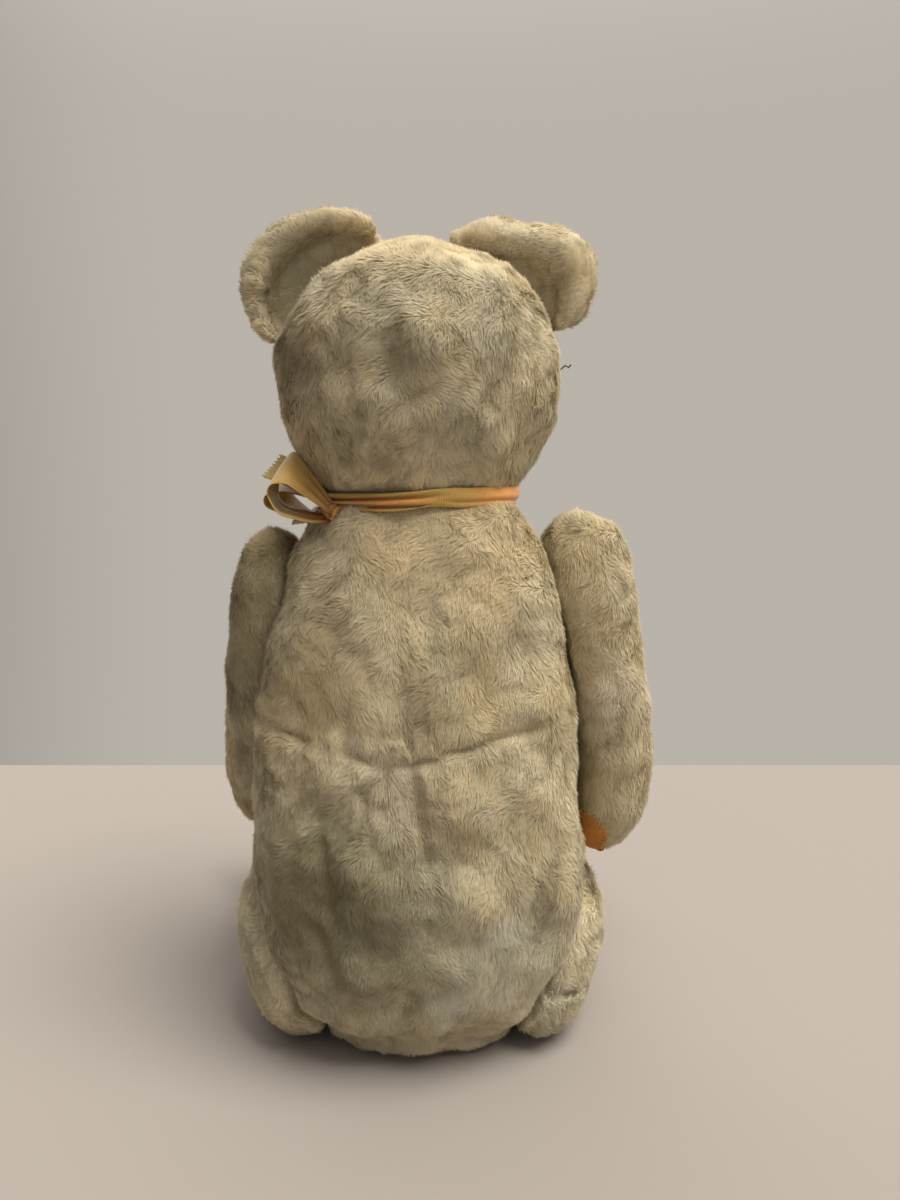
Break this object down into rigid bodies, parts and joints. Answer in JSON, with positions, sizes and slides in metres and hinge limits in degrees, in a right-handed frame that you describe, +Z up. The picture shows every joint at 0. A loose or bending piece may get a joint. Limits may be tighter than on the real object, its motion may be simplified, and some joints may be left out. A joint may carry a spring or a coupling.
{
  "type": "teddy bear",
  "caption": "Worn plush teddy bear sitting upright, with a disc joint at the neck, shoulders and hips, felt pads and a tired ribbon bow.",
  "frame": {"origin": "middle of the flat patch that the torso sits on", "axes": "+Z up; the bear looks along -Y; +X is the bear's own left"},
  "size_m": [0.1764, 0.1936, 0.3305],
  "materials": {
    "plush": "short cream mohair plush, matted, worn and soiled",
    "stuffing": "packed wood wool and waste cotton",
    "felt": "orange-rust wool felt, thinned and curling at its edge",
    "ribbon": "faded orange-gold taffeta with pinked ends",
    "floss": "dark brown embroidery floss",
    "glass": "dark amber glass, polished",
    "board": "pressed fibreboard, raw",
    "steel": "plain steel, dulled"
  },
  "bodies": {
    "torso": {"torso_cover": "plush", "torso_stuffing": "stuffing", "neck_ribbon": "ribbon", "neck_torso_disc": "board", "neck_torso_washer": "steel", "shoulder_left_torso_disc": "board", "shoulder_left_torso_washer": "steel", "shoulder_right_torso_disc": "board", "shoulder_right_torso_washer": "steel", "hip_left_torso_disc": "board", "hip_left_torso_washer": "steel", "hip_right_torso_disc": "board", "hip_right_torso_washer": "steel"},
    "head": {"head_cover": "plush", "head_stuffing": "stuffing", "nose_stitching": "floss", "mouth_stitching": "floss", "ear_left": "plush", "ear_right": "plush", "eye_left": "glass", "eye_right": "glass", "neck_head_disc": "board", "neck_head_washer": "steel", "neck_split_pin": "steel"},
    "arm_left": {"arm_left_cover": "plush", "arm_left_stuffing": "stuffing", "hand_pad_left": "felt", "shoulder_left_arm_disc": "board", "shoulder_left_arm_washer": "steel", "shoulder_left_split_pin": "steel"},
    "arm_right": {"arm_right_cover": "plush", "arm_right_stuffing": "stuffing", "hand_pad_right": "felt", "shoulder_right_arm_disc": "board", "shoulder_right_arm_washer": "steel", "shoulder_right_split_pin": "steel"},
    "leg_left": {"leg_left_cover": "plush", "leg_left_stuffing": "stuffing", "foot_pad_left": "felt", "hip_left_leg_disc": "board", "hip_left_leg_washer": "steel", "hip_left_split_pin": "steel"},
    "leg_right": {"leg_right_cover": "plush", "leg_right_stuffing": "stuffing", "foot_pad_right": "felt", "hip_right_leg_disc": "board", "hip_right_leg_washer": "steel", "hip_right_split_pin": "steel"}
  },
  "joints": [
    {"name": "neck_turn", "type": "hinge", "parent": "torso", "child": "head", "pos_m": [0, 0, 0.2159], "axis": [0, 0, 1], "continuous": true},
    {"name": "shoulder_left_swing", "type": "hinge", "parent": "torso", "child": "arm_left", "pos_m": [0.0475, -0.007, 0.176], "axis": [-0.9903, 0, -0.1392], "range_deg": [-130, 120]},
    {"name": "shoulder_right_swing", "type": "hinge", "parent": "torso", "child": "arm_right", "pos_m": [-0.05, -0.005, 0.182], "axis": [-0.9903, 0, 0.1392], "range_deg": [-130, 130]},
    {"name": "hip_left_swing", "type": "hinge", "parent": "torso", "child": "leg_left", "pos_m": [0.038, -0.01, 0.036], "axis": [0.9976, 0.0698, 0], "range_deg": [-15, 90]},
    {"name": "hip_right_swing", "type": "hinge", "parent": "torso", "child": "leg_right", "pos_m": [-0.038, -0.01, 0.036], "axis": [0.9976, -0.0698, 0], "range_deg": [-15, 90]}
  ]
}
